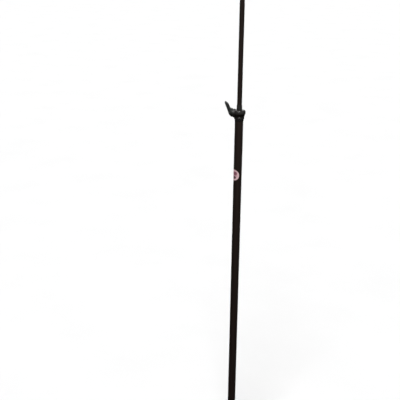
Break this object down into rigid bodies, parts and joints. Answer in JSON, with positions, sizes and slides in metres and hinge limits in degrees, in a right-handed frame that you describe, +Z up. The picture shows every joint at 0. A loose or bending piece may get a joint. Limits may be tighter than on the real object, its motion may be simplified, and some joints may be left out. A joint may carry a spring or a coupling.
{
  "type": "boom pole",
  "caption": "Telescopic boom pole for a microphone: a thin tube slides and turns in a thick one, a one-armed lever on the collar clamps it, and each end has a thread.",
  "frame": {"origin": "centre of the base face, where the mouth of the female base thread lies", "axes": "+Z up the pole towards the tip, -X towards the clamping lever, -Y towards the front, which the viewer sees"},
  "size_m": [0.0537, 0.0326, 1.6265],
  "materials": {
    "foot_rubber": "matt black rubber",
    "plain_steel": "zinc-plated steel",
    "bare_aluminium": "turned aluminium",
    "soft_pad": "soft grey-black pad",
    "black_tube": "satin black anodised tube",
    "label_film": "printed round film label",
    "black_casting": "die-cast body, semi-gloss black paint",
    "black_screws": "blackened steel",
    "black_nylon": "black glass-filled nylon",
    "pale_nylon": "natural nylon",
    "black_brass": "blackened knurled ring"
  },
  "bodies": {
    "outer_pole": {"foot_ring": "foot_rubber", "base_thread_insert": "plain_steel", "base_plug": "bare_aluminium", "base_pin": "plain_steel", "base_bumper": "soft_pad", "outer_tube": "black_tube", "label": "label_film", "clamp_collar": "black_casting", "collar_screws": "black_screws", "guide_bush": "black_nylon"},
    "glide": {"glide_ring": "pale_nylon"},
    "inner_pole": {"inner_tube": "black_tube", "guide_plug": "bare_aluminium", "guide_pin": "plain_steel", "stop_collar": "pale_nylon", "tip_stud": "plain_steel", "tip_pin": "plain_steel"},
    "washer_on_tip": {"tip_washer": "foot_rubber"},
    "lock_ring": {"tip_lock_ring": "black_brass"},
    "shoe": {"pressure_shoe": "pale_nylon"},
    "lever": {"lever_handle": "black_nylon", "clamp_screw": "plain_steel", "lever_washer": "plain_steel"}
  },
  "joints": [
    {"name": "inner_slide", "type": "slide", "parent": "outer_pole", "child": "glide", "axis": [0, 0, 1], "range_m": [-0.457, 0.5521]},
    {"name": "inner_swivel", "type": "hinge", "parent": "glide", "child": "inner_pole", "pos_m": [0, 0, 0.4945], "axis": [0, 0, 1], "continuous": true},
    {"name": "tip_washer_rise", "type": "slide", "parent": "inner_pole", "child": "washer_on_tip", "axis": [0, 0, 1], "range_m": [0, 0.00317]},
    {"name": "tip_ring_turn", "type": "hinge", "parent": "washer_on_tip", "child": "lock_ring", "pos_m": [0, 0, 1.6077], "axis": [0, 0, 1], "range_deg": [0, 720]},
    {"name": "shoe_slide", "type": "slide", "parent": "outer_pole", "child": "shoe", "axis": [-1, 0, 0], "range_m": [0, 0.00125]},
    {"name": "lever_turn", "type": "hinge", "parent": "shoe", "child": "lever", "pos_m": [-0.0178, 0, 1.093], "axis": [-1, 0, 0], "range_deg": [0, 360]}
  ],
  "couplings": [
    {"joint": "tip_ring_turn", "follows": "tip_washer_rise", "rad_per_m": 3957.9},
    {"joint": "lever_turn", "follows": "shoe_slide", "rad_per_m": 5026.5}
  ]
}
